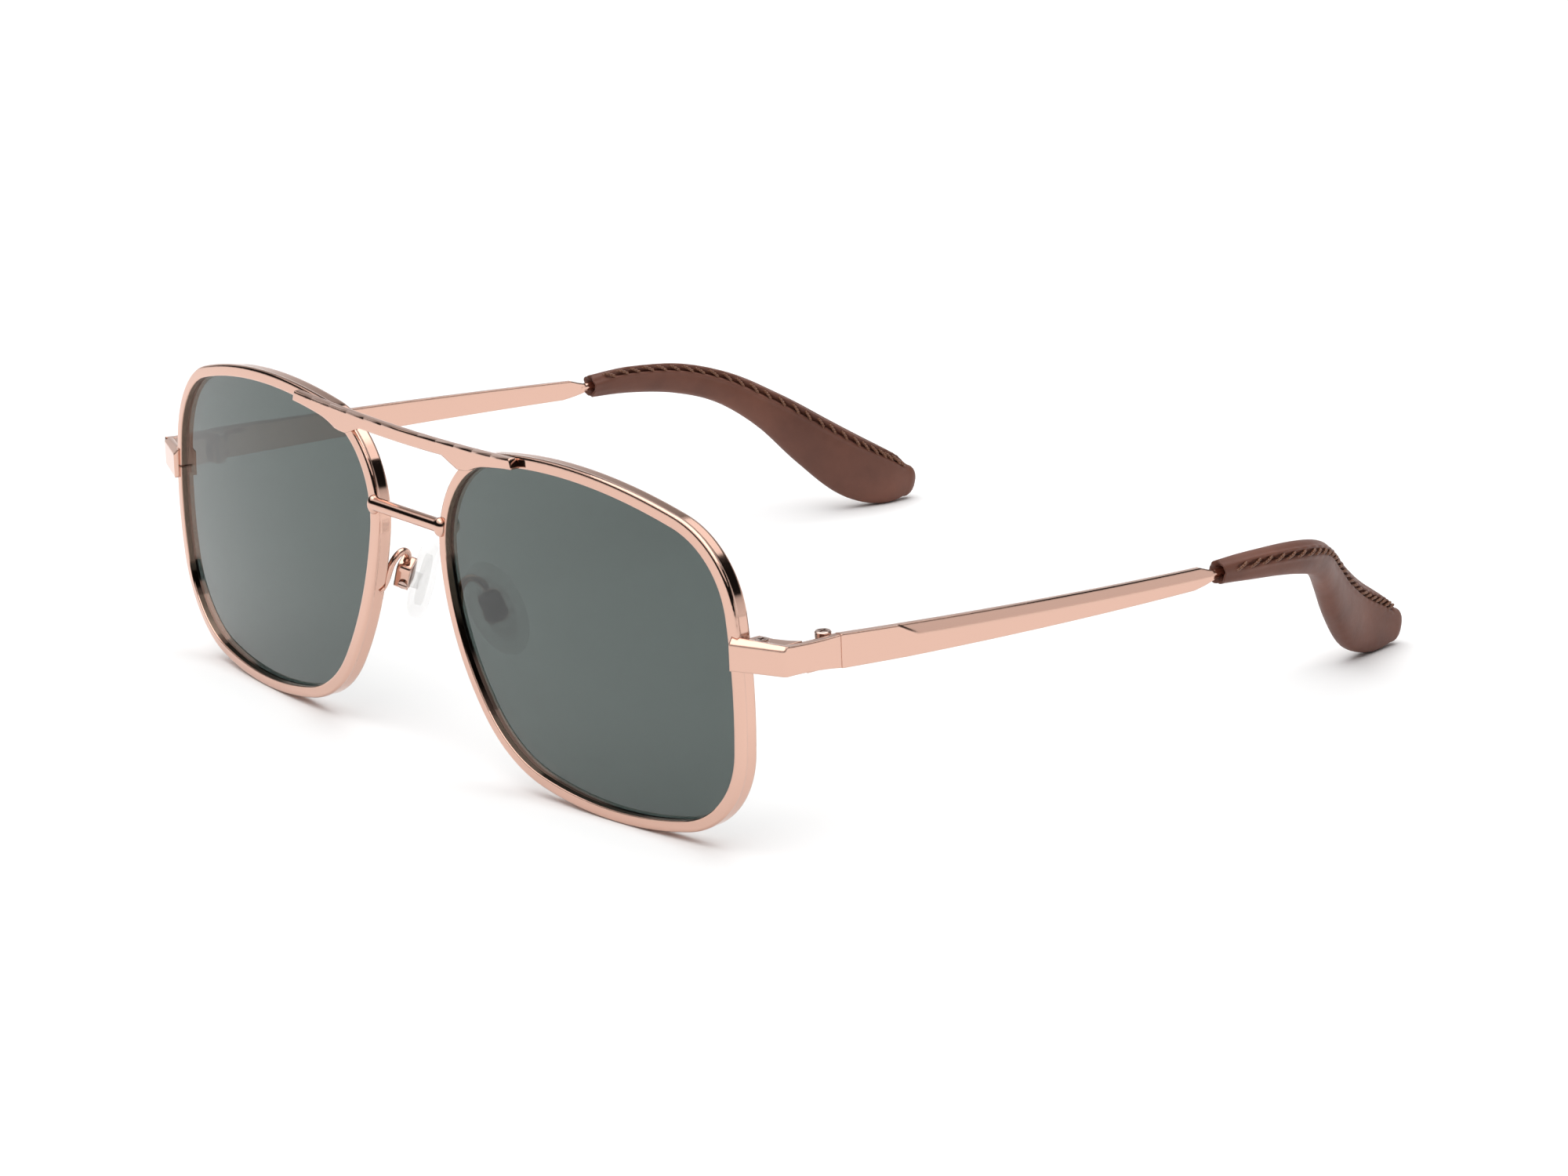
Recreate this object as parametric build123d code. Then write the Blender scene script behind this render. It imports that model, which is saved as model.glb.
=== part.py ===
from build123d import *
import os
from math import cos, radians, sin, sqrt

# Metal aviator sunglasses with tinted lenses and leather-covered temple tips.
# Millimetres. +X is the wearer's left, -Y is the front, +Z is up and z = 0 is the table
# that the open glasses stand on. The mirror plane of the frame is x = 0, so every piece
# below is modelled for the wearer's left side and mirrored for the right.

os.makedirs("parts", exist_ok=True)

# --- Driving dimensions -------------------------------------------------------------

# Pieces are drawn with y = 0 at the lens fronts and moved forward by this much when they are
# saved, which puts the origin below the middle of the open glasses.
middle_y = 64.1

# Where each lens sits: its centre, how far it wraps round the face and leans back.
lens_centre = (36.0, 0.0, 29.29)
wrap_angle = 4.63
lean_angle = 1.7
lens_front_radius = 205.0

# The opening in the rim, looking at it from the front: four bowed sides between four
# corners (x outwards, y up), each side's bow, and the rounding of each corner.
opening_corners = [(-26.9, 12.2), (-14.1, -24.4), (27.7, -23.8), (26.8, 10.4)]
opening_bows = [4.8, 3.5, 2.2, 4.5]
opening_roundings = [12.7, 18.4, 12.5, 12.8]

# The rim is an eyewire with a slightly wider layer on its front.
rim_width = 1.6
rim_depth = 2.2
rim_front_layer = 0.6
rim_step = 0.15
rim_edge_rounding = 0.42
rim_split_height = 27.0
rim_split_gap = 0.2

# The lens stands back in the rim and is held by a tongue in the rim's groove.
lens_inset = 0.95
lens_thickness = 1.6
lens_edge_gap = 0.02
tongue_reach = 0.45
tongue_front = 1.4
tongue_back = 2.0

# The brow bar and the lower bridge.
brow_front = -0.75
brow_back = 0.55
brow_top_middle = 45.5
brow_top_end = 46.2
brow_bottom = 43.65
brow_end_x = 25.4
bridge_height = 33.6
bridge_radius = 0.95
bridge_y = -0.2
bridge_end_x = 7.9
bridge_end_size = (1.0, 0.95, 1.35)

# The end piece: a plate on the front of the rim that bends back to the hinge.
plate_thickness = 1.2
plate_inner_end = (65.6, 3.75)
plate_bend = (73.2, 6.9)
joint_line_y = 16.0
temple_outer_x = 72.95
plate_bevel = 0.8

# The hinge: a vertical screw through three knuckles.
hinge_axis = (70.5, 15.0)
knuckle_radius = 1.05
knuckle_levels = [24.7, 26.0, 27.3, 28.6]
knuckle_gap = 0.06
hinge_screw_radius = 0.6
hinge_running_gap = 0.05
hinge_head_radius = 1.1
hinge_head_height = 0.75
leaf_thickness = 0.75

# The closing blocks that hold the split rim shut, and their screw.
block_top = 29.2
block_bottom = 25.3
lock_screw_centre = (67.9, 7.3)
lock_screw_radius = 0.5
lock_head_radius = 0.85
recess_width = 0.28
recess_depth = 0.3

# The temple: a slightly bowed strip that ends in a wire inside the leather tip.
temple_thickness = 1.2
temple_middle = (73.2, 47.0)
temple_end = (71.3, 79.5)
facet_on_face = 1.5
facet_on_edge = 0.35
facet_start = (24.5, 28.7)
facet_start_slope = 28
core_wire_radius = 0.6

# The nose pad, its holder and the wire arm that carries it.
pad_centre = Vector(9.35, 8.0, 20.95)
pad_up = Vector(-0.497, -0.119, 0.859).normalized()
pad_outwards = Vector(0.70, -0.62, 0.35)
pad_half_width = 3.5
pad_half_height = 6.7
pad_thickness = 2.3
holder_width = 3.1
holder_height = 4.4
holder_mouth = 1.65
holder_back = 3.65
holder_wall = 0.35
holder_middle = 0.2
pad_screw_place = (-0.6, 2.35)
pad_screw_radius = 0.4
pad_running_gap = 0.05
insert_thickness = 0.7
lug_radius = 0.75
lug_width = 1.7
arm_radius = 0.5

# The leather sleeve: middle of each section, its height and its thickness.
sleeve_sections = [
    ((71.2, 80.6, 23.55), 3.2, 3.1),
    ((71.0, 88.0, 23.25), 4.0, 3.3),
    ((69.7, 96.0, 22.2), 4.5, 3.5),
    ((66.5, 102.5, 20.0), 5.0, 3.6),
    ((62.3, 108.0, 16.0), 6.2, 3.8),
    ((58.9, 113.2, 11.0), 8.2, 4.0),
    ((56.2, 118.6, 6.45), 9.4, 4.0),
    ((54.9, 123.6, 3.95), 8.2, 3.6),
    ((54.5, 127.2, 2.9), 5.0, 2.8),
    ((54.4, 129.1, 2.5), 2.4, 1.8),
]
leather_thickness = 0.7
wire_end_section = 6
filler_start_y = 82.4
stitch_count = 26
stitch_radius = 0.22
stitch_length = 1.3

# --- Frames of reference ------------------------------------------------------------

wrap = radians(wrap_angle)
lean = radians(lean_angle)
lens_right = (cos(wrap), sin(wrap) * cos(lean), -sin(wrap) * sin(lean))
lens_front = (sin(wrap), -cos(wrap) * cos(lean), cos(wrap) * sin(lean))
lens_plane = Plane(origin=lens_centre, x_dir=lens_right, z_dir=lens_front)

pad_outwards = (pad_outwards - pad_up * pad_outwards.dot(pad_up)).normalized()
pad_plane = Plane(origin=pad_centre, x_dir=pad_up.cross(pad_outwards), z_dir=pad_outwards)


def save(name, shape):
    """Write one piece to its own file."""
    export_step(Pos(0, -middle_y, 0) * shape, f"parts/{name}.step")


def save_pair(name, shape):
    """Write the wearer's left piece and its mirror image."""
    save(f"{name}_left", shape)
    save(f"{name}_right", mirror(shape, about=Plane.YZ))


def block(x, y, z):
    """A box given by its limits along each axis."""
    size = (x[1] - x[0], y[1] - y[0], z[1] - z[0])
    middle = ((x[0] + x[1]) / 2, (y[0] + y[1]) / 2, (z[0] + z[1]) / 2)
    return Pos(*middle) * Box(*size)


def upright(x, y, radius, low, high):
    """A vertical cylinder."""
    return Pos(x, y, (low + high) / 2) * Cylinder(radius, high - low)


# --- Rim and lens -------------------------------------------------------------------


def side_circle(start, end, bow):
    """The centre and radius of the circle through a side's ends with a given bow."""
    chord = end - start
    outwards = Vector(chord.Y, -chord.X).normalized()
    radius = (chord.length**2 / 4 + bow**2) / (2 * bow)
    return (start + end) / 2 + outwards * (bow - radius), radius


def crossing(circle_a, circle_b, near):
    """The point nearest to a given one where two circles cross."""
    centre_a, radius_a = circle_a
    centre_b, radius_b = circle_b
    apart = centre_b - centre_a
    along = (radius_a**2 - radius_b**2 + apart.length**2) / (2 * apart.length)
    across = sqrt(radius_a**2 - along**2)
    foot = centre_a + apart.normalized() * along
    side = Vector(-apart.Y, apart.X).normalized() * across
    return min(foot + side, foot - side, key=lambda point: (point - near).length)


def opening(grow):
    """The rim opening as a bar along the lens axis, grown outwards by an amount."""
    corners = [Vector(*corner) for corner in opening_corners]
    circles = []
    for i, bow in enumerate(opening_bows):
        centre, radius = side_circle(corners[i], corners[(i + 1) % 4], bow)
        circles.append((centre, radius + grow))
    grown = [crossing(circles[i - 1], circles[i], corner) for i, corner in enumerate(corners)]
    sides = []
    for i, (centre, radius) in enumerate(circles):
        start, end = grown[i], grown[(i + 1) % 4]
        middle = centre + ((start + end) / 2 - centre).normalized() * radius
        sides.append(ThreePointArc(start, middle, end))
    outline = make_face(sides)
    for corner, rounding in zip(grown, opening_roundings):
        vertex = outline.vertices().sort_by_distance(corner)[0]
        outline = fillet(vertex, rounding + grow)
    return extrude(lens_plane * outline, amount=15, both=True)


def ball(depth):
    """The sphere that lies a given depth behind the front surface of the lens frame."""
    sphere = Rot(90, 0, 0) * Sphere(lens_front_radius - depth)
    return lens_plane * Pos(0, 0, -lens_front_radius) * sphere


def curved_slice(bar, front_depth, back_depth):
    """The part of a bar between two of those spheres."""
    return (bar & ball(front_depth)) - ball(back_depth)


def make_lens():
    """A curved lens with a tongue all round its edge."""
    body = curved_slice(opening(-lens_edge_gap), lens_inset, lens_inset + lens_thickness)
    tongue = curved_slice(opening(tongue_reach), tongue_front, tongue_back)
    return body + tongue


def make_rim():
    """The split eyewire, grooved for the lens, with a wider layer on its front."""
    hole = opening(0)
    front = curved_slice(opening(rim_width), 0, rim_front_layer)
    ahead = Vector(*lens_centre) + Vector(*lens_front) * 100
    front_face = front.faces().sort_by_distance(ahead)[0]
    front = fillet(front_face.edges(), rim_edge_rounding) - hole
    back = curved_slice(opening(rim_width - rim_step) - hole, rim_front_layer, rim_depth)
    gap = lens_edge_gap
    groove = curved_slice(opening(tongue_reach + gap), tongue_front - gap, tongue_back + gap)
    low = rim_split_height - rim_split_gap / 2
    split = block((60, 72), (0, 12), (low, low + rim_split_gap))
    return front + back - groove - split


lens = make_lens()
rim = make_rim()
lens_hole = opening(0)
rim_outside = curved_slice(opening(rim_width), 0, rim_depth)
save_pair("lens", lens)
save_pair("rim", rim)

# --- Brow bar and bridge ------------------------------------------------------------


def both_sides(shape):
    """A shape together with its mirror image."""
    return shape + mirror(shape, about=Plane.YZ)


def make_brow_bar():
    """A flat bar lying on the front of both rims, with a web down each inner corner."""
    top = ThreePointArc((-brow_end_x, brow_top_end), (0, brow_top_middle), (brow_end_x, brow_top_end))
    web_tip = (14.9, 42.6)
    web_inner = (13.3, 42.5)
    web_start = (9.8, 43.8)
    end = (26.0, 44.5)
    corner = (brow_end_x, brow_top_end)
    right = Polyline(corner, end, web_tip, web_inner, web_start)
    left = Polyline([(-x, z) for x, z in (corner, end, web_tip, web_inner, web_start)])
    under = ThreePointArc(web_start, (0, brow_bottom), (-web_start[0], web_start[1]))
    outline = make_face([top, right, under, left])
    bar = extrude(Plane.XZ * outline, amount=-(brow_back - brow_front))
    bar = Pos(0, brow_front, 0) * bar
    top_edges = bar.edges().filter_by(lambda e: e.center().Z > brow_top_middle - 0.2 and e.length > 30)
    bar = fillet(top_edges, 0.35)
    for cut in (lens_hole, rim_outside):
        bar = bar - both_sides(cut)
    return max(bar.solids(), key=lambda solid: solid.volume)


def make_bridge():
    """A round wire between the rims, swelling where it is brazed to them."""
    wire = Rot(0, 90, 0) * Cylinder(bridge_radius, 2 * bridge_end_x)
    swelling = Pos(bridge_end_x, 0, -0.15) * scale(Sphere(1), by=bridge_end_size)
    bridge = Pos(0, bridge_y, bridge_height) * (wire + both_sides(swelling))
    bridge = bridge - both_sides(rim_outside)
    return max(bridge.solids(), key=lambda solid: solid.volume)


save("brow_bar", make_brow_bar())
save("bridge", make_bridge())

# --- End piece, closing blocks and their screw --------------------------------------

temple_inner_x = temple_outer_x - plate_thickness
plate_run = Vector(plate_bend[0] - plate_inner_end[0], plate_bend[1] - plate_inner_end[1]).normalized()
plate_back = Vector(-plate_run.Y, plate_run.X) * plate_thickness
plate_inner_back = (plate_inner_end[0] + plate_back.X, plate_inner_end[1] + plate_back.Y)
bend_inner_x = plate_bend[0] - plate_thickness
bend_inner_y = plate_inner_back[1] + (bend_inner_x - plate_inner_back[0]) * plate_run.Y / plate_run.X


def side_profile(top_points, bottom_points):
    """A slab across the whole frame whose top and bottom edges follow two curves in Y and Z."""
    top = Spline(top_points)
    bottom = Spline(bottom_points)
    front = Line(top_points[0], bottom_points[0])
    back = Line(top_points[-1], bottom_points[-1])
    return extrude(Plane.YZ * make_face([top, back, bottom, front]), amount=90)


def make_end_piece():
    """The bent plate, with a bevel along the top of its front."""
    corners = [
        plate_inner_end,
        plate_bend,
        (temple_outer_x, joint_line_y - 0.03),
        (temple_inner_x, joint_line_y - 0.03),
        (bend_inner_x, bend_inner_y),
        plate_inner_back,
    ]
    plan = extrude(make_face(Polyline(corners, close=True)), amount=40)
    heights = [(2.5, 29.95), (6.9, 29.35), (16.5, 29.1)]
    depths = [(2.5, 25.2), (7.0, 25.45), (16.5, 24.62)]
    plate = plan & side_profile(heights, depths)
    bend = plate.edges().filter_by(Axis.Z).sort_by_distance((*plate_bend, 27))[0]
    plate = fillet(bend, 0.6)
    front_middle = (Vector(*plate_inner_end) + Vector(*plate_bend)) / 2 + Vector(0, 0, 29.6)
    outwards_and_up = Vector(plate_run.Y, -plate_run.X, 1).normalized()
    bevel_plane = Plane(origin=front_middle, x_dir=plate_run, z_dir=outwards_and_up)
    bevel_depth = plate_bevel * sin(radians(45))
    plate = plate - bevel_plane * Pos(-0.4, 0, 3 - bevel_depth) * Box(9.0, 8, 6)
    return plate - rim_outside


def make_closing_block(low, high, reach):
    """Half of the barrel that closes the split rim, filling the corner behind the plate."""
    corners = [
        (66.2, 5.4),
        (66.2, 8.2),
        (68.6, 8.6),
        (70.3, 9.4),
        (bend_inner_x - 0.1, 9.4 + reach),
        (bend_inner_x, bend_inner_y),
        plate_inner_back,
    ]
    body = extrude(Pos(0, 0, low) * make_face(Polyline(corners, close=True)), amount=high - low)
    return body - rim_outside - lens - end_piece


def cross_recess(length):
    """The cross cut in a screw's head."""
    return Box(length, recess_width, recess_depth) + Box(recess_width, length, recess_depth)


end_piece = make_end_piece()
half_gap = rim_split_gap / 2
lock_head = upright(*lock_screw_centre, lock_head_radius, block_top - 0.45, block_top + 0.12)
lock_shank = upright(*lock_screw_centre, lock_screw_radius, block_bottom + 0.1, block_top - 0.2)
lock_cross = Pos(*lock_screw_centre, block_top + 0.05) * Rot(0, 0, 30) * cross_recess(1.1)
lock_space = lock_head + lock_shank
lock_screw = lock_space - lock_cross
block_upper = make_closing_block(rim_split_height + half_gap, block_top, 1.2) - lock_space
block_lower = make_closing_block(block_bottom, rim_split_height - half_gap, 0.0) - lock_space
save_pair("end_piece", end_piece)
save_pair("closing_block_upper", block_upper)
save_pair("closing_block_lower", block_lower)
save_pair("closing_screw", lock_screw)

# --- Hinge --------------------------------------------------------------------------


leaf_x = (temple_inner_x - leaf_thickness, temple_inner_x)


def knuckle(level, finger_y, hole_radius):
    """One of the three knuckles, joined to its leaf by a finger and drilled for the screw."""
    low = knuckle_levels[level] + knuckle_gap / 2
    high = knuckle_levels[level + 1] - knuckle_gap / 2
    barrel = upright(*hinge_axis, knuckle_radius, low, high)
    finger = block(leaf_x, finger_y, (low, high))
    return barrel + finger - upright(*hinge_axis, hole_radius, low, high)


def make_front_hinge():
    """The leaf on the end piece, with the upper and lower knuckles."""
    leaf_z = (knuckle_levels[0] + knuckle_gap / 2, knuckle_levels[3] - knuckle_gap / 2)
    leaf = block(leaf_x, (11.4, 13.6), leaf_z)
    for level in (0, 2):
        leaf = leaf + knuckle(level, (13.4, hinge_axis[1]), hinge_screw_radius)
    return leaf


def make_temple_hinge():
    """The leaf let into the temple, with the middle knuckle."""
    leaf = block((leaf_x[0], leaf_x[1] + 0.3), (17.0, 20.4), (25.0, 28.3))
    return leaf + knuckle(1, (hinge_axis[1], 17.2), hinge_screw_radius + hinge_running_gap)


def make_hinge_screw():
    """The pivot screw, with its head standing on the top knuckle."""
    top = knuckle_levels[3]
    shank = upright(*hinge_axis, hinge_screw_radius, knuckle_levels[0] - 0.15, top)
    head = upright(*hinge_axis, hinge_head_radius, top, top + hinge_head_height)
    head = chamfer(head.edges().group_by(Axis.Z)[-1], 0.15)
    cross = Pos(*hinge_axis, top + hinge_head_height) * Rot(0, 0, 20) * cross_recess(1.4)
    return shank + head - cross


save_pair("hinge_front", make_front_hinge())
save_pair("hinge_screw", make_hinge_screw())

# --- Temple -------------------------------------------------------------------------


def station_plane(index):
    """The plane of one sleeve section, square to the line through its neighbours."""
    last = len(sleeve_sections) - 1
    before = Vector(*sleeve_sections[max(index - 1, 0)][0])
    after = Vector(*sleeve_sections[min(index + 1, last)][0])
    along = (after - before).normalized()
    sideways = Vector(0, 0, 1).cross(along).normalized()
    return Plane(origin=sleeve_sections[index][0], x_dir=sideways, z_dir=along)


def sleeve_solid(inset):
    """The sleeve's shape, shrunk by an inset all round."""
    sections = []
    for index, (middle, height, thickness) in enumerate(sleeve_sections):
        outline = Ellipse(thickness / 2 - inset, height / 2 - inset)
        sections.append(station_plane(index) * outline)
    return loft(sections)


def make_temple():
    """The strip and the wire that carries the tip, in one piece."""
    half = temple_thickness / 2
    middle_x = temple_outer_x - half
    edges = []
    for offset_x in (-half, half):
        start = (middle_x + offset_x, joint_line_y + 0.03)
        middle = (temple_middle[0] + offset_x, temple_middle[1])
        end = (temple_end[0] + offset_x, temple_end[1])
        edges.append(ThreePointArc(start, middle, end))
    joint_end = Line(edges[0] @ 0, edges[1] @ 0)
    tip_end = Line(edges[0] @ 1, edges[1] @ 1)
    plan = extrude(make_face([*edges, joint_end, tip_end]), amount=40)
    outline = [
        (15.0, 29.18), (77.2, 24.95), (78.4, 24.5), (79.6, 24.15),
        (79.6, 22.95), (77.6, 22.55), (75.6, 22.3), (26.0, 24.15), (15.0, 24.7),
    ]
    profile = extrude(Plane.YZ * make_face(Polyline(outline, close=True)), amount=90)
    strip = plan & profile
    outside = strip.faces().sort_by(Axis.X)[-1]
    top_edge = outside.edges().sort_by(lambda edge: -edge.length)[:2].sort_by(Axis.Z)[-1]
    faceted = chamfer(top_edge, facet_on_face, facet_on_edge, reference=outside)
    slope = Rot(-facet_start_slope, 0, 0) * Pos(0, 0, -20) * Box(200, 200, 40)
    ahead = Pos(0, *facet_start) * slope
    strip = (strip & ahead) + (faceted - ahead)
    points = [(71.3, 78.9, 23.55)]
    points += [middle for middle, height, thickness in sleeve_sections[:wire_end_section + 1]]
    path = Spline(points)
    wire = sweep(Plane(origin=path @ 0, z_dir=path % 0) * Circle(core_wire_radius), path)
    return strip, wire


strip, core_wire = make_temple()
hinge_temple = make_temple_hinge()
temple = strip + core_wire - hinge_temple
save_pair("temple", temple)
save_pair("hinge_temple", hinge_temple)

# --- Leather tip --------------------------------------------------------------------

inside = sleeve_solid(leather_thickness)
sleeve = sleeve_solid(0) - inside - core_wire - strip
filler = inside - block((60, 80), (70, filler_start_y), (10, 40)) - core_wire
save_pair("tip_leather", sleeve)
save_pair("tip_filler", filler)


def make_stitches():
    """Short stitches in a row along the top of the sleeve."""
    tops = []
    for index in range(1, len(sleeve_sections) - 2):
        plane = station_plane(index)
        rise = sleeve_sections[index][1] / 2 + stitch_radius + 0.06
        tops.append(plane.origin + plane.y_dir * rise)
    seam = Spline(tops)
    stitches = []
    for i in range(stitch_count):
        share = (i + 0.5) / stitch_count
        stitch = Cylinder(stitch_radius, stitch_length)
        stitches.append(Plane(origin=seam @ share, z_dir=seam % share) * stitch)
    return Compound(stitches)


save_pair("tip_stitching", make_stitches())

# --- Nose pads ----------------------------------------------------------------------


def make_pad_parts():
    """The pad, its hard insert with a lug, the holder and the screw, in the pad's own frame."""
    place_y, place_z = pad_screw_place
    across = Pos(0, place_y, place_z) * Rot(0, 90, 0)
    cushion = extrude(Ellipse(pad_half_width, pad_half_height), amount=pad_thickness)
    cushion = Pos(0, 0, -pad_thickness / 2) * fillet(cushion.edges(), 0.95)
    plate = Pos(0, 0, -insert_thickness / 2) * extrude(Ellipse(2.0, 4.6), amount=insert_thickness)
    lug_end = across * Cylinder(lug_radius, lug_width)
    lug_y = (place_y - lug_radius, place_y + lug_radius)
    lug_neck = block((-lug_width / 2, lug_width / 2), lug_y, (0.2, place_z))
    hole = across * Cylinder(pad_screw_radius + pad_running_gap, 4)
    insert = plate + lug_end + lug_neck - hole
    outline = RectangleRounded(holder_width, holder_height, 0.9)
    cup = extrude(outline, amount=holder_back - holder_mouth)
    wall = 2 * holder_wall
    outline = RectangleRounded(holder_width - wall, holder_height - wall, 0.6)
    hollow = Pos(0, 0, -0.1) * extrude(outline, amount=holder_back - holder_mouth - holder_wall + 0.1)
    shank = across * Cylinder(pad_screw_radius, holder_width)
    head = across * Pos(0, 0, -holder_width / 2 - 0.15) * Cylinder(0.65, 0.3)
    slot = Pos(-holder_width / 2 - 0.3, place_y, place_z) * Box(0.25, 0.22, 2)
    holder = Pos(0, holder_middle, holder_mouth) * (cup - hollow) - shank
    return [pad_plane * piece for piece in (cushion - insert, insert, holder, shank + head - slot)]


pad, pad_insert, pad_holder, pad_screw = make_pad_parts()
arm_points = [
    (9.75, 1.0, 20.6), (9.3, 2.1, 22.4), (8.75, 2.8, 24.6),
    (8.65, 4.3, 25.8), (9.3, 5.6, 25.2), (10.2, 5.95, 23.8),
]
arm_path = Spline(arm_points)
arm = sweep(Plane(origin=arm_path @ 0, z_dir=arm_path % 0) * Circle(arm_radius), arm_path)
arm = arm - rim_outside - pad_holder
arm = max(arm.solids(), key=lambda solid: solid.volume)
save_pair("nose_pad", pad)
save_pair("pad_insert", pad_insert)
save_pair("pad_holder", pad_holder)
save_pair("pad_screw", pad_screw)
save_pair("pad_arm", arm)
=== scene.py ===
import math
import bmesh
import bpy
from mathutils import Matrix, Vector


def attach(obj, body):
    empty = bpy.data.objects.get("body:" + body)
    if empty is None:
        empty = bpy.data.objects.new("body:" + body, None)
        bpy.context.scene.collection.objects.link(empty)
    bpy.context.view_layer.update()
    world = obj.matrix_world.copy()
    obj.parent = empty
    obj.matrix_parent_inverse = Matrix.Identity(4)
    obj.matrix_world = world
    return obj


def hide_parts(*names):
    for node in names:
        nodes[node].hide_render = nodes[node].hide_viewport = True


# Metal sunglasses standing open on a pale table. The row frame has the front of the glasses
# at -Y, the wearer's left at +X and the table at z = 0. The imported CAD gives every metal
# piece, the lenses and the nose pads; the leather tips and their thread are made here.
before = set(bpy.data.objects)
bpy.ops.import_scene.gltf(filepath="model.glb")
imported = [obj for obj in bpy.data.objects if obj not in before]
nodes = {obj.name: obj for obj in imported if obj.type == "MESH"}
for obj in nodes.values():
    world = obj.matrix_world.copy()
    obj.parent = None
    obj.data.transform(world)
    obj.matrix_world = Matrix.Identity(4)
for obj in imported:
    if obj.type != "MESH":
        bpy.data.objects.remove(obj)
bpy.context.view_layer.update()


# --- Front: eyewires, brow bar, bridge and end pieces ----------------------------------
# Nickel-alloy wire and strip, brazed together, polished and plated rose gold. The plating
# is a mirror with a faint softness where the polishing wheel ran along the metal.
SIDES = {"left": 1, "right": -1}
CLOUDS_PER_METRE = 260.0  # one soft patch in about 4 mm
POLISHING_LINES_PER_METRE = 9000.0  # one line in about 0.1 mm
BUFFED_EDGE_RADIUS = 0.0004
PLATING_SHARPEST = 0.045
PLATING_SOFTEST = 0.11


def linear(hex_colour):
    """An sRGB hex colour as linear red, green, blue and alpha."""
    parts = [int(hex_colour[i:i + 2], 16) / 255 for i in (1, 3, 5)]
    return [c / 12.92 if c <= 0.04045 else ((c + 0.055) / 1.055) ** 2.4 for c in parts] + [1]


def add(tree, kind, settings=None, links=None):
    """One shader node with its settings and what feeds its inputs."""
    node = tree.nodes.new(kind)
    for name, value in (settings or {}).items():
        if name in node.inputs:
            node.inputs[name].default_value = value
        else:
            setattr(node, name, value)
    for name, source in (links or {}).items():
        tree.links.new(source, node.inputs[name])
    return node


def new_material(name, settings):
    """A material with one Principled shader, its node tree, and that shader."""
    material = bpy.data.materials.new(name)
    material.use_nodes = True
    shader = material.node_tree.nodes["Principled BSDF"]
    for key, value in settings.items():
        shader.inputs[key].default_value = value
    return material, material.node_tree, shader


def object_place(tree):
    """Coordinates in the piece's own frame, in metres."""
    return add(tree, "ShaderNodeTexCoord").outputs["Object"]


def assign(node_name, material):
    """Give a CAD node one material."""
    mesh = nodes[node_name].data
    mesh.materials.clear()
    mesh.materials.append(material)


# Polished plating: a pink-gold mirror, cloudy in soft patches, with fine polishing lines
# and with every sharp edge buffed over, so that the edges catch thin lines of light.
rose_gold, tree, shader = new_material("rose_gold_polished_plating", {
    "Base Color": linear("#D9B2A1"), "Metallic": 1.0})
place = object_place(tree)
cloud = add(tree, "ShaderNodeTexNoise", {"Scale": CLOUDS_PER_METRE, "Detail": 3.0}, {"Vector": place})
soft = add(tree, "ShaderNodeMapRange", {"To Min": PLATING_SHARPEST, "To Max": PLATING_SOFTEST},
           {"Value": cloud.outputs["Fac"]})
tree.links.new(soft.outputs["Result"], shader.inputs["Roughness"])
lines = add(tree, "ShaderNodeTexNoise", {"Scale": POLISHING_LINES_PER_METRE, "Detail": 2.0},
            {"Vector": place})
buffed_edge = add(tree, "ShaderNodeBevel", {"samples": 8, "Radius": BUFFED_EDGE_RADIUS})
bump = add(tree, "ShaderNodeBump", {"Strength": 0.03, "Distance": 0.00001},
           {"Height": lines.outputs["Fac"], "Normal": buffed_edge.outputs["Normal"]})
tree.links.new(bump.outputs["Normal"], shader.inputs["Normal"])

for name in ("brow_bar", "bridge"):
    assign(name, rose_gold)
for side in SIDES:
    for name in ("rim", "end_piece", "closing_block_upper", "closing_block_lower"):
        assign(f"{name}_{side}", rose_gold)


# --- Lenses ----------------------------------------------------------------------------
# Mineral glass tinted grey-green right through, ground to a curve and polished, with its
# edge in the groove of the eyewire. The tint shows evenly, with little reflection over it.

# A lens face with less than this much Y in its normal belongs to the ground edge.
LEAST_Y_OF_POLISHED_FACE = 0.8

lens_glass = new_material("grey_green_tinted_glass", {
    "Base Color": linear("#47514E"), "Roughness": 0.0, "IOR": 1.52,
    "Specular IOR Level": 0.03, "Transmission Weight": 1.0})[0]

# The ground edge of the glass is painted nearly black as painted shade, standing in for the dark line of
# the eyewire's shaded inner wall, so no light comes in round it.
ground_edge_painted_shade = new_material("ground_glass_edge_painted_shade", {
    "Base Color": linear("#1E1A17"), "Roughness": 0.45})[0]

for side in SIDES:
    assign(f"lens_{side}", lens_glass)
    lens_mesh = nodes[f"lens_{side}"].data
    # The faces of the ground edge take the nearly black painted shade.
    lens_mesh.materials.append(ground_edge_painted_shade)
    for face in lens_mesh.polygons:
        face.material_index = 0 if abs(face.normal.y) > LEAST_Y_OF_POLISHED_FACE else 1
    nodes[f"lens_{side}"].visible_shadow = False


# --- Nose pads and what carries them ----------------------------------------------------
# Clear silicone cushions moulded round a hard clear core, each screwed into a small plated
# cup on a bent wire that is brazed to the back of the eyewire. Both plastics are smooth and
# nearly colourless, so they show as a pale haze with a soft highlight.
silicone = new_material("clear_silicone_smooth", {
    "Base Color": linear("#F7F7F6"), "Roughness": 0.08, "IOR": 1.41, "Alpha": 0.22})[0]
core_plastic = new_material("clear_hard_pad_core", {
    "Base Color": linear("#F2F2EF"), "Roughness": 0.15, "IOR": 1.49, "Alpha": 0.12})[0]

for side in SIDES:
    assign(f"nose_pad_{side}", silicone)
    assign(f"pad_insert_{side}", core_plastic)
    assign(f"pad_holder_{side}", rose_gold)
    assign(f"pad_arm_{side}", rose_gold)


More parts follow.
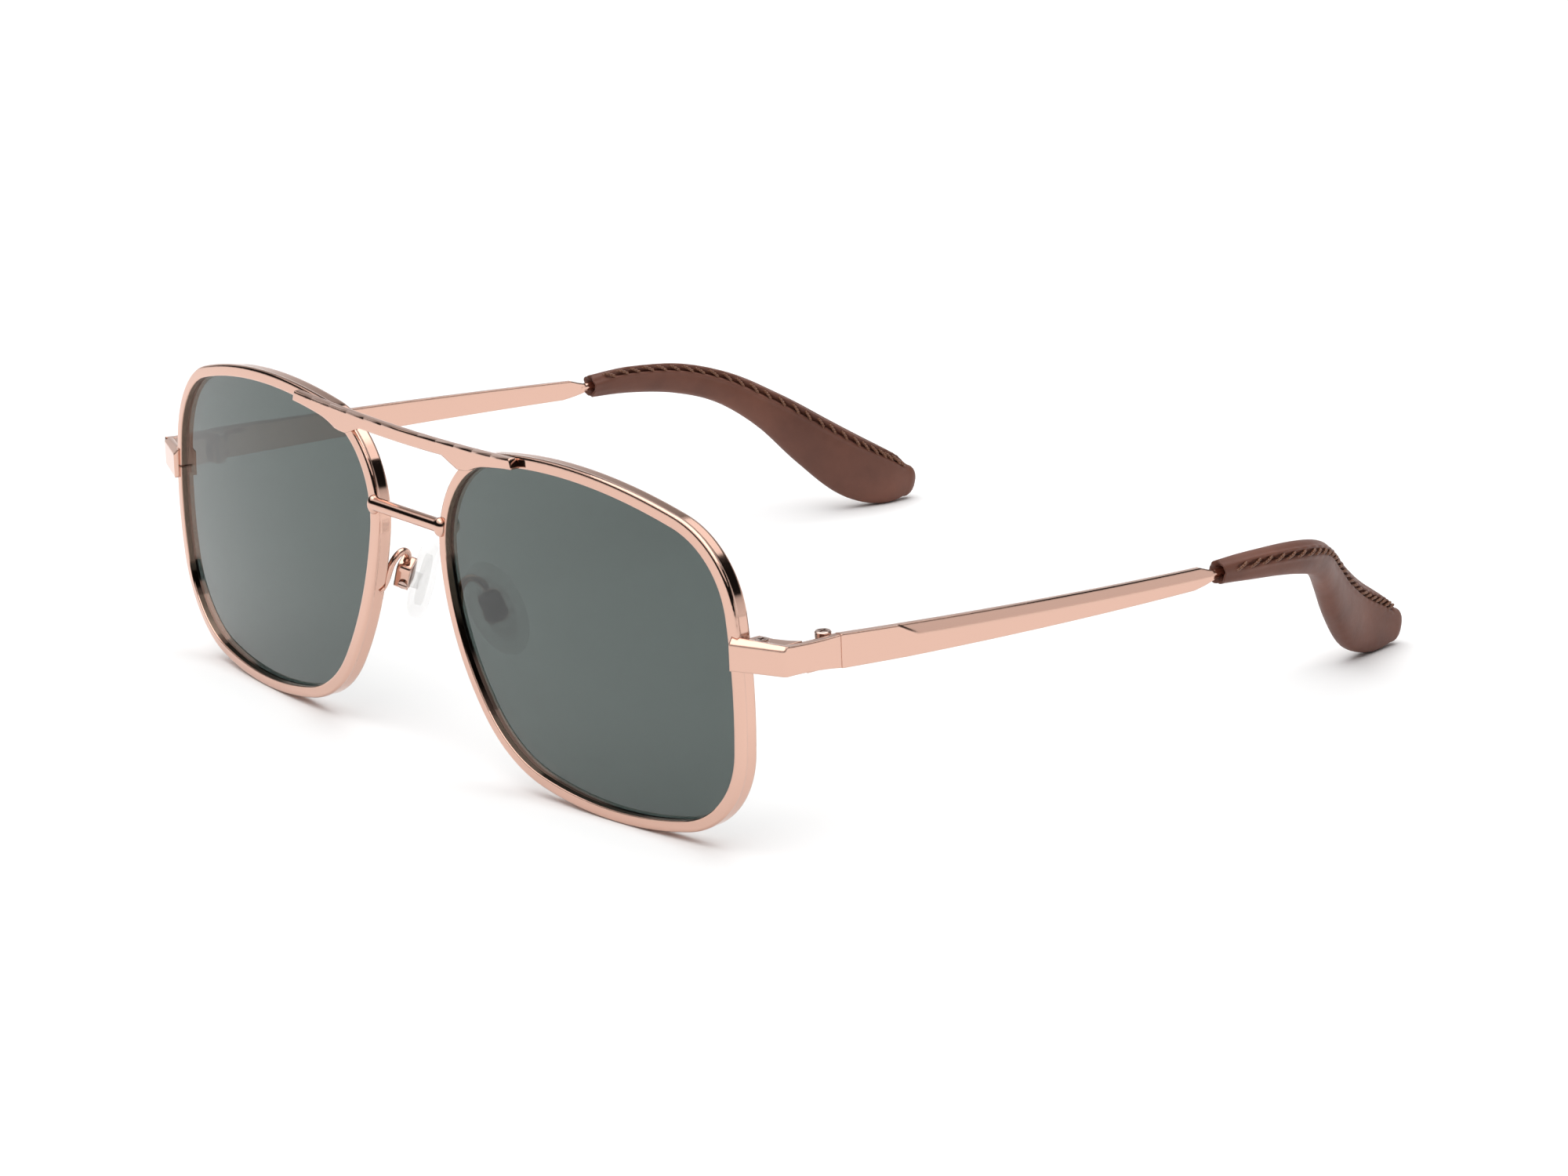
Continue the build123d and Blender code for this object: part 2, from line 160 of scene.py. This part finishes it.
# --- Screws ------------------------------------------------------------------------------
# Turned steel screws, flashed with the same plating, with fine turning marks over each
# head that widen its highlight.
TURNING_MARKS_PER_METRE = 6000.0  # one mark in about 0.17 mm

screw_steel, tree, shader = new_material("turned_steel_gold_flash", {
    "Base Color": linear("#CDB3A8"), "Metallic": 1.0, "Roughness": 0.2})
turning = add(tree, "ShaderNodeTexNoise", {"Scale": TURNING_MARKS_PER_METRE, "Detail": 1.0},
              {"Vector": object_place(tree)})
bump = add(tree, "ShaderNodeBump", {"Strength": 0.12, "Distance": 0.00001},
           {"Height": turning.outputs["Fac"]})
tree.links.new(bump.outputs["Normal"], shader.inputs["Normal"])

for side in SIDES:
    for name in ("closing_screw", "hinge_screw", "pad_screw"):
        assign(f"{name}_{side}", screw_steel)


# --- Hinges and temples --------------------------------------------------------------------
# Three-knuckle hinges cut from the same alloy, and a long flat strip for each temple that
# narrows to a wire inside the leather tip. All are plated with the front.
for side in SIDES:
    for name in ("hinge_front", "hinge_temple", "temple"):
        assign(f"{name}_{side}", rose_gold)


# --- Leather tips ---------------------------------------------------------------------------
# One piece of brown calf folded round each tip and drawn together by a sewn seam off the top,
# on the +X side of both. The cut edges stand up as lips with a crease between them, the open
# end is gathered round the temple's neck, and the far end is a smooth flat paddle.
MM = 0.001

# Middle (x, y, z), height and thickness of the sleeve at each station, in millimetres. They
# are for the wearer's left, and y is measured from the middle of the glasses.
STATIONS = [
    ((71.2, 16.5, 23.55), 3.2, 3.1),
    ((71.0, 23.9, 23.25), 4.0, 3.3),
    ((69.7, 31.9, 22.2), 4.5, 3.5),
    ((66.5, 38.4, 20.0), 5.0, 3.6),
    ((62.3, 43.9, 16.0), 6.2, 3.8),
    ((58.9, 49.1, 11.0), 8.2, 4.0),
    ((56.2, 54.5, 6.45), 9.4, 4.0),
    ((54.9, 59.5, 3.95), 8.2, 3.6),
    ((54.5, 63.1, 2.9), 5.0, 2.8),
]
CAP_LENGTH = 1.9
CAP_RINGS = 9
TABLE_GAP = 0.02
RINGS = 190
AROUND = 112

# The section's squareness: 2 is an ellipse, and the paddle is a little squarer.
NECK_POWER = 2.2
PADDLE_EXTRA_POWER = 0.4

# The seam: where it runs along the tip, its first and last angle from the top of the section
# in radians, its lips and its crease. The lip on the lower side stands less high.
SEAM_START = 0.06
SEAM_END = 0.95
SEAM_ANGLES = {"left": (-1.2, -0.8), "right": (0.72, 0.72)}
STITCHES = 26
LIP_HEIGHT = 0.22
PUCKER_HEIGHT = 0.12
LOWER_LIP_SHARE = 0.55
LIP_AWAY = 0.62
LIP_WIDTH = 0.3
CREASE_DEPTH = 0.6
CREASE_WIDTH = 0.24

# The gathered mouth: how far inside it each ring lies, and how small the ring is there. Its
# folds die out along the sleeve, and its cut edge is uneven over the first few rings.
MOUTH_RINGS = [(2.2, 0.36), (1.3, 0.44), (0.7, 0.54), (0.3, 0.68), (0.05, 0.85)]
GATHER_END = 0.13
BROAD_FOLD = 0.07
NARROW_FOLD = 0.035
SLACK = 0.03
UNEVEN_RINGS = 3


def smooth(before, start, end, after, t):
    """A smooth curve between two values that also follows their neighbours."""
    first_power = (end - before) * t
    second_power = (2 * before - 5 * start + 4 * end - after) * t * t
    third_power = (3 * start - before - 3 * end + after) * t ** 3
    return 0.5 * (2 * start + first_power + second_power + third_power)


def station(share):
    """Middle, height and thickness of the sleeve at a share of its length."""
    values = [[*middle, height, thickness] for middle, height, thickness in STATIONS]
    last = len(values) - 1
    place = min(max(share, 0), 1) * last
    i = min(int(place), last - 1)
    rows = [values[max(i - 1, 0)], values[i], values[i + 1], values[min(i + 2, last)]]
    row = [smooth(*column, place - i) for column in zip(*rows)]
    return Vector(row[:3]), row[3], row[4]


def sleeve_axes(share):
    """The sleeve's middle and its sideways, upward and lengthways directions there."""
    middle = station(share)[0]
    along = (station(share + 0.004)[0] - station(share - 0.004)[0]).normalized()
    sideways = Vector((0, 0, 1)).cross(along).normalized()
    return middle, sideways, along.cross(sideways), along


def fade(value, low, high):
    """0 below the first limit, 1 above the second, smooth between."""
    t = min(max((value - low) / (high - low), 0), 1)
    return t * t * (3 - 2 * t)


def seam_angle_at(side, share):
    """The seam's angle round the section, which drifts along the tip as it was sewn."""
    first, last = SEAM_ANGLES[side]
    return first + (last - first) * fade(share, 0.45, 0.95)


def seam_strength(share):
    """How far the seam's crease and lips are formed at a share of the length."""
    formed = fade(share, SEAM_START - 0.03, SEAM_START + 0.05)
    closed = fade(share, SEAM_END - 0.06, SEAM_END + 0.02)
    return formed * (1 - closed)


def pitch_phase(share):
    """Where a share of the length falls between one stitch and the next, in turns."""
    return (share - SEAM_START) / (SEAM_END - SEAM_START) * STITCHES


def section_point(share, angle, shrink=1.0):
    """A point of the plain section, and the direction straight out of the leather there."""
    middle, sideways, upward, along = sleeve_axes(share)
    height, thickness = station(share)[1:]
    u = math.sin(angle)
    v = math.cos(angle)
    power = NECK_POWER + PADDLE_EXTRA_POWER * fade(share, 0.35, 0.75)
    reach = (abs(u) ** power + abs(v) ** power) ** (-1 / power)
    half_t = thickness / 2 * shrink
    half_h = height / 2 * shrink
    outward = (sideways * (u / half_t) + upward * (v / half_h)).normalized()
    return middle + sideways * (u * reach * half_t) + upward * (v * reach * half_h), outward


def seam_rise(share, angle, seam_angle, across):
    """The lips and the crease of the seam at a distance across from its middle."""
    is_upper = (seam_angle - angle) * seam_angle > 0
    lip_share = 1.0 if is_upper else LOWER_LIP_SHARE
    pucker = 0.5 - 0.5 * math.cos(2 * math.pi * pitch_phase(share))
    lip_height = (LIP_HEIGHT + PUCKER_HEIGHT * pucker) * lip_share
    lip = lip_height * math.exp(-((across - LIP_AWAY) / LIP_WIDTH) ** 2)
    crease = -CREASE_DEPTH * math.exp(-(across / CREASE_WIDTH) ** 2)
    return seam_strength(share) * (lip + crease)


def fold_rise(share, angle):
    """Folds where the mouth is gathered, and slight slackness along the straight part."""
    broad = math.sin(5 * angle + 0.7) * BROAD_FOLD
    narrow = math.sin(9 * angle + 2.1 + 20 * share) * NARROW_FOLD
    gathered = (1 - fade(share, 0.0, GATHER_END)) * (broad + narrow)
    wander = math.sin(31 * share + 2.0 * math.sin(angle)) * math.sin(2 * angle + 9 * share)
    slack = SLACK * wander * fade(share, 0.02, 0.1) * (1 - fade(share, 0.5, 0.8))
    return gathered + slack


def skin_point(share, angle, seam_angle, shrink=1.0):
    """A point on the finished leather, with its seam, puckers and creases."""
    point, outward = section_point(share, angle, shrink)
    seam_place = section_point(share, seam_angle, shrink)[0]
    across = (point - seam_place).length
    rise = seam_rise(share, angle, seam_angle, across) + fold_rise(share, angle)
    return point + outward * rise


def ring_angles(seam_angle):
    """Angles round the sleeve, closest together at the seam."""
    turns = [i / AROUND * 2 - 1 for i in range(AROUND)]
    return [seam_angle + math.pi * (0.22 * turn + 0.78 * turn * abs(turn)) for turn in turns]


def mouth_rings(side):
    """Rings from deep inside the gathered mouth out to its edge."""
    along = sleeve_axes(0.0)[3]
    seam_angle = seam_angle_at(side, 0.0)
    rows = []
    for inwards, shrink in MOUTH_RINGS:
        row = []
        for angle in ring_angles(seam_angle):
            wave = 0.1 * math.sin(4 * angle + 1.1) + 0.06 * math.sin(7 * angle)
            row.append(skin_point(0.0, angle, seam_angle, shrink) + along * (inwards + wave * shrink))
        rows.append(row)
    return rows


def body_rings(side):
    """Rings along the sleeve. The first few follow the uneven cut edge of the mouth."""
    mouth_along = sleeve_axes(0.0)[3]
    rows = []
    for i in range(RINGS + 1):
        share = i / RINGS
        seam_angle = seam_angle_at(side, share)
        row = []
        for angle in ring_angles(seam_angle):
            point = skin_point(share, angle, seam_angle)
            if i < UNEVEN_RINGS:
                wave = 0.12 * math.sin(4 * angle + 1.1) + 0.07 * math.sin(7 * angle)
                point += mouth_along * wave * (1 - i / UNEVEN_RINGS)
            row.append(point)
        rows.append(row)
    return rows


def cap_rings(side):
    """Rings that round off the end of the paddle."""
    end_along = sleeve_axes(1.0)[3]
    seam_angle = seam_angle_at(side, 1.0)
    rows = []
    for i in range(1, CAP_RINGS):
        turn = i / CAP_RINGS * math.pi / 2
        past_end = end_along * CAP_LENGTH * math.sin(turn)
        rows.append([skin_point(1.0, angle, seam_angle, math.cos(turn)) + past_end
                     for angle in ring_angles(seam_angle)])
    return rows


def finish_mesh(name, mesh):
    """Turn a built mesh into a smooth-shaded object in the scene."""
    data = bpy.data.meshes.new(name)
    mesh.to_mesh(data)
    mesh.free()
    for face in data.polygons:
        face.use_smooth = True
    piece = bpy.data.objects.new(name, data)
    bpy.context.scene.collection.objects.link(piece)
    return piece


def make_sleeve(side, sign):
    """The leather of one tip, from the gathered mouth to the closed paddle."""
    mesh = bmesh.new()
    rows = mouth_rings(side) + body_rings(side) + cap_rings(side)
    grid = [[mesh.verts.new((sign * p.x * MM, p.y * MM, max(p.z, TABLE_GAP) * MM)) for p in row]
            for row in rows]
    for low_row, high_row in zip(grid, grid[1:]):
        for i in range(AROUND):
            j = (i + 1) % AROUND
            mesh.faces.new((low_row[i], low_row[j], high_row[j], high_row[i]))
    mesh.faces.new(grid[-1])
    mesh.faces.new(grid[0])
    bmesh.ops.recalc_face_normals(mesh, faces=mesh.faces)
    return finish_mesh(f"leather_sleeve_{side}", mesh)


# Satin brown calf: fine pores, broader crinkles, and a slow change of brown where the dye
# took unevenly. It is waxed, so it has a soft sheen.
DYE_PATCHES_PER_METRE = 120.0  # one patch in about 8 mm
CRINKLES_PER_METRE = 900.0  # one crinkle in about 1 mm
PORES_PER_METRE = 3300.0  # one pore in about 0.3 mm

calf, tree, shader = new_material("brown_calf_satin", {
    "IOR": 1.45, "Specular IOR Level": 0.4, "Sheen Weight": 0.05, "Sheen Roughness": 0.4})
place = object_place(tree)
dye = add(tree, "ShaderNodeTexNoise",
          {"Scale": DYE_PATCHES_PER_METRE, "Detail": 4.0, "Roughness": 0.55}, {"Vector": place})
tint = add(tree, "ShaderNodeValToRGB", None, {"Fac": dye.outputs["Fac"]})
tint.color_ramp.elements[0].position = 0.3
tint.color_ramp.elements[0].color = linear("#5F3A2E")
tint.color_ramp.elements[1].position = 0.7
tint.color_ramp.elements[1].color = linear("#75493A")
tree.links.new(tint.outputs["Color"], shader.inputs["Base Color"])
pores = add(tree, "ShaderNodeTexVoronoi", {"Scale": PORES_PER_METRE}, {"Vector": place})
pore_bump = add(tree, "ShaderNodeBump", {"Strength": 0.16, "Distance": 0.00004},
                {"Height": pores.outputs["Distance"]})
crinkle = add(tree, "ShaderNodeTexNoise",
              {"Scale": CRINKLES_PER_METRE, "Detail": 5.0, "Roughness": 0.6}, {"Vector": place})
crinkle_bump = add(tree, "ShaderNodeBump", {"Strength": 0.25, "Distance": 0.00008},
                   {"Height": crinkle.outputs["Fac"], "Normal": pore_bump.outputs["Normal"]})
tree.links.new(crinkle_bump.outputs["Normal"], shader.inputs["Normal"])
wax = add(tree, "ShaderNodeMapRange", {"To Min": 0.42, "To Max": 0.6}, {"Value": crinkle.outputs["Fac"]})
tree.links.new(wax.outputs["Result"], shader.inputs["Roughness"])

# The moulded core under the leather is never seen, so it only needs a dull dark plastic.
tip_core = new_material("dark_moulded_core", {
    "Base Color": linear("#33241D"), "Roughness": 0.7})[0]

for side, sign in SIDES.items():
    sleeve = make_sleeve(side, sign)
    sleeve.data.materials.append(calf)
    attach(sleeve, f"temple_{side}")
    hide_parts(f"tip_leather_{side}")
    assign(f"tip_filler_{side}", tip_core)


# --- Stitching --------------------------------------------------------------------------------
# Waxed two-ply brown thread, whipped over the seam. Each stitch comes out of a hole in one
# lip, crosses the crease at a long slant and goes down through the other lip.
THREAD_RADIUS = 0.16
THREAD_SIDES = 7
PLY_OFFSET = 0.12
PLY_TURNS = 1.1
STITCH_STEPS = 18
HALF_CROSSING = 0.46
HALF_SLANT = 0.95
STITCH_TOP = 0.26
STITCH_DIP = 0.5
UNEVENNESS = 0.08


def tube(mesh, path):
    """A closed length of thread along a list of points, in millimetres."""
    rings = []
    for i, point in enumerate(path):
        along = (path[min(i + 1, len(path) - 1)] - path[max(i - 1, 0)]).normalized()
        side_way = along.cross(Vector((0.3, 0.2, 0.9))).normalized()
        up_way = side_way.cross(along)
        ring = []
        for k in range(THREAD_SIDES):
            turn = 2 * math.pi * k / THREAD_SIDES
            offset = (side_way * math.cos(turn) + up_way * math.sin(turn)) * THREAD_RADIUS
            ring.append(mesh.verts.new((point + offset) * MM))
        rings.append(ring)
    for low_ring, high_ring in zip(rings, rings[1:]):
        for k in range(THREAD_SIDES):
            m = (k + 1) % THREAD_SIDES
            mesh.faces.new((low_ring[k], low_ring[m], high_ring[m], high_ring[k]))
    mesh.faces.new(rings[0])
    mesh.faces.new(rings[-1])


def ply_path(side, sign, stitch, ply):
    """The points of one ply of one stitch, on the chosen side of the glasses."""
    share = SEAM_START + (SEAM_END - SEAM_START) * stitch / STITCHES
    wobble = math.sin(stitch * 2.4) * UNEVENNESS
    place, outward = section_point(share, seam_angle_at(side, share))
    along = sleeve_axes(share)[3]
    around = outward.cross(along)
    path = []
    for k in range(STITCH_STEPS + 1):
        t = k / STITCH_STEPS * 2 - 1
        rise = STITCH_TOP - STITCH_DIP * abs(t) ** 3 + wobble * 0.5
        slant = t * HALF_SLANT + wobble
        turn = 2 * math.pi * (t * PLY_TURNS) + ply * math.pi
        point = place + around * (t * HALF_CROSSING) + outward * rise + along * slant
        point += (along * math.cos(turn) + outward * math.sin(turn)) * PLY_OFFSET
        path.append(Vector((point.x * sign, point.y, point.z)))
    return path


def make_stitching(side, sign):
    """All the stitches of one tip."""
    mesh = bmesh.new()
    for stitch in range(STITCHES):
        for ply in (0, 1):
            tube(mesh, ply_path(side, sign, stitch, ply))
    bmesh.ops.recalc_face_normals(mesh, faces=mesh.faces)
    return finish_mesh(f"stitching_{side}", mesh)


# Waxed thread: two browns mixed fibre by fibre, with fine bumps and a tight waxy highlight.
FIBRES_PER_METRE = 5200.0  # one fibre in about 0.2 mm

thread, tree, shader = new_material("waxed_brown_thread", {
    "Roughness": 0.35, "IOR": 1.45, "Coat Weight": 0.3, "Coat Roughness": 0.25})
fibre = add(tree, "ShaderNodeTexNoise", {"Scale": FIBRES_PER_METRE, "Detail": 3.0},
            {"Vector": object_place(tree)})
fibre_tint = add(tree, "ShaderNodeValToRGB", None, {"Fac": fibre.outputs["Fac"]})
fibre_tint.color_ramp.elements[0].color = linear("#4A2A1C")
fibre_tint.color_ramp.elements[1].color = linear("#8E5C3E")
tree.links.new(fibre_tint.outputs["Color"], shader.inputs["Base Color"])
bump = add(tree, "ShaderNodeBump", {"Strength": 0.4, "Distance": 0.00004},
           {"Height": fibre.outputs["Fac"]})
tree.links.new(bump.outputs["Normal"], shader.inputs["Normal"])

for side, sign in SIDES.items():
    stitching = make_stitching(side, sign)
    stitching.data.materials.append(thread)
    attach(stitching, f"temple_{side}")
    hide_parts(f"tip_stitching_{side}")


# --- Table, light and camera ----------------------------------------------------------------
# A white table under a broad overhead softbox, in a room whose walls are white with dark
# strips, so the polished edges carry thin black and white lines.
table_mesh = bmesh.new()
bmesh.ops.create_grid(table_mesh, x_segments=1, y_segments=1, size=6.0)
table = finish_mesh("table_top", table_mesh)
table_paint = new_material("white_table_matt", {
    "Base Color": linear("#FDFDFD"), "Roughness": 0.9, "Specular IOR Level": 0.1})[0]
table.data.materials.append(table_paint)

world = bpy.data.worlds.new("studio")
bpy.context.scene.world = world
world.use_nodes = True
tree = world.node_tree
direction = add(tree, "ShaderNodeTexCoord").outputs["Generated"]
split = add(tree, "ShaderNodeSeparateXYZ", None, {"Vector": direction})

# Each wall is its glow at the floor line, then (height, glow) on the way up, where height is
# the sine of the angle above the floor line. Straight overhead all of them are white.
FRONT_WALL = [1.0, (0.02, 1.0), (0.05, 0.01), (0.48, 0.01), (0.54, 1.0)]
BACK_RIGHT_WALL = [0.9, (0.14, 0.75), (0.34, 0.5), (0.55, 0.35), (0.62, 0.02), (0.78, 0.02), (0.84, 1.0)]
BACK_LEFT_WALL = [0.9, (0.14, 0.78), (0.22, 0.6), (0.27, 0.01), (0.8, 0.01), (0.86, 1.0)]
CORNER_BLEND = 0.12


def wall(stops):
    """The glow of one side of the room, from the floor line up to straight overhead."""
    ramp = add(tree, "ShaderNodeValToRGB", None, {"Fac": split.outputs["Z"]})
    elements = ramp.color_ramp.elements
    elements[0].color = (stops[0], stops[0], stops[0], 1)
    elements[1].color = (1, 1, 1, 1)
    for position, glow in stops[1:]:
        stop = elements.new(position)
        stop.color = (glow, glow, glow, 1)
    glowing = add(tree, "ShaderNodeBackground", {"Strength": 1.0}, {"Color": ramp.outputs["Color"]})
    return glowing.outputs["Background"]


def join_walls(axis, low_wall, high_wall):
    """One wall on the low side of an axis and another on its high side, blended between."""
    share = add(tree, "ShaderNodeMapRange", {"From Min": -CORNER_BLEND, "From Max": CORNER_BLEND},
                {"Value": split.outputs[axis]})
    joined = add(tree, "ShaderNodeMixShader")
    tree.links.new(share.outputs["Result"], joined.inputs[0])
    tree.links.new(low_wall, joined.inputs[1])
    tree.links.new(high_wall, joined.inputs[2])
    return joined.outputs["Shader"]


back_walls = join_walls("X", wall(BACK_RIGHT_WALL), wall(BACK_LEFT_WALL))
room = join_walls("Y", wall(FRONT_WALL), back_walls)
tree.links.new(room, tree.nodes["World Output"].inputs["Surface"])

# The softbox hangs above the glasses and faces them, so that their shadows are soft and faint.
softbox_light = bpy.data.lights.new("softbox_overhead", "AREA")
softbox_light.shape = "SQUARE"
softbox_light.size = 3.0
softbox_light.energy = 39.0
softbox = bpy.data.objects.new("softbox_overhead", softbox_light)
bpy.context.scene.collection.objects.link(softbox)
softbox_place = Vector((0.0, 0.1, 1.8))
softbox.location = softbox_place
softbox.rotation_euler = (-softbox_place).to_track_quat("-Z", "Y").to_euler()

# The camera stands to the wearer's left of the front, a little above the glasses.
CAMERA_PLACE = (0.63754, -0.48199, 0.24294)
CAMERA_AZIMUTH = math.radians(53.017)
CAMERA_ELEVATION = math.radians(16.244)
CAMERA_ROLL = math.radians(-2.256)
back = Vector((math.sin(CAMERA_AZIMUTH) * math.cos(CAMERA_ELEVATION),
               -math.cos(CAMERA_AZIMUTH) * math.cos(CAMERA_ELEVATION), math.sin(CAMERA_ELEVATION)))
level = Vector((math.cos(CAMERA_AZIMUTH), math.sin(CAMERA_AZIMUTH), 0))
upright = back.cross(level)
right = level * math.cos(CAMERA_ROLL) + upright * math.sin(CAMERA_ROLL)
above = upright * math.cos(CAMERA_ROLL) - level * math.sin(CAMERA_ROLL)
camera_data = bpy.data.cameras.new("camera")
camera_data.lens = 135.75
camera_data.sensor_width = 36
camera_data.clip_start = 0.01
camera = bpy.data.objects.new("camera", camera_data)
bpy.context.scene.collection.objects.link(camera)
turned = Matrix((right, above, back)).transposed().to_4x4()
camera.matrix_world = Matrix.Translation(CAMERA_PLACE) @ turned
bpy.context.scene.camera = camera
bpy.context.scene.view_settings.view_transform = "Standard"
